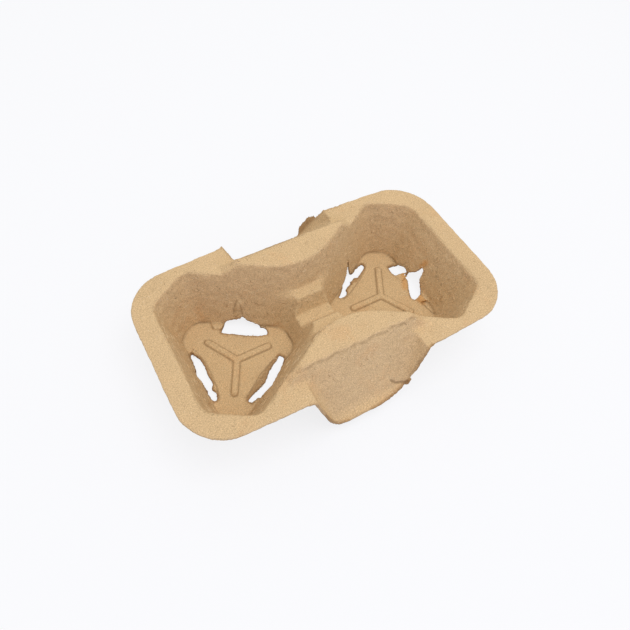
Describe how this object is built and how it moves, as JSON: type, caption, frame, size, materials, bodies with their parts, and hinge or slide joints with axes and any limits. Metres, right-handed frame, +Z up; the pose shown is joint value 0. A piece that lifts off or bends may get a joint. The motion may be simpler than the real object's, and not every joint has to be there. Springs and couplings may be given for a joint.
{
  "type": "cup carrier",
  "caption": "Moulded paper pulp drink tray with deep cup wells, a stepped bridge, raised backs and sunk side grips; its floor slots and wall darts are torn open.",
  "frame": {"origin": "middle of the tray on the table, under the bridge", "axes": "+X along the tray through both wells, +Y across it, +Z up"},
  "size_m": [0.2118, 0.1336, 0.0474],
  "materials": {
    "pulp": "matte"
  },
  "bodies": {
    "root": {"carrier": "pulp"}
  },
  "joints": []
}
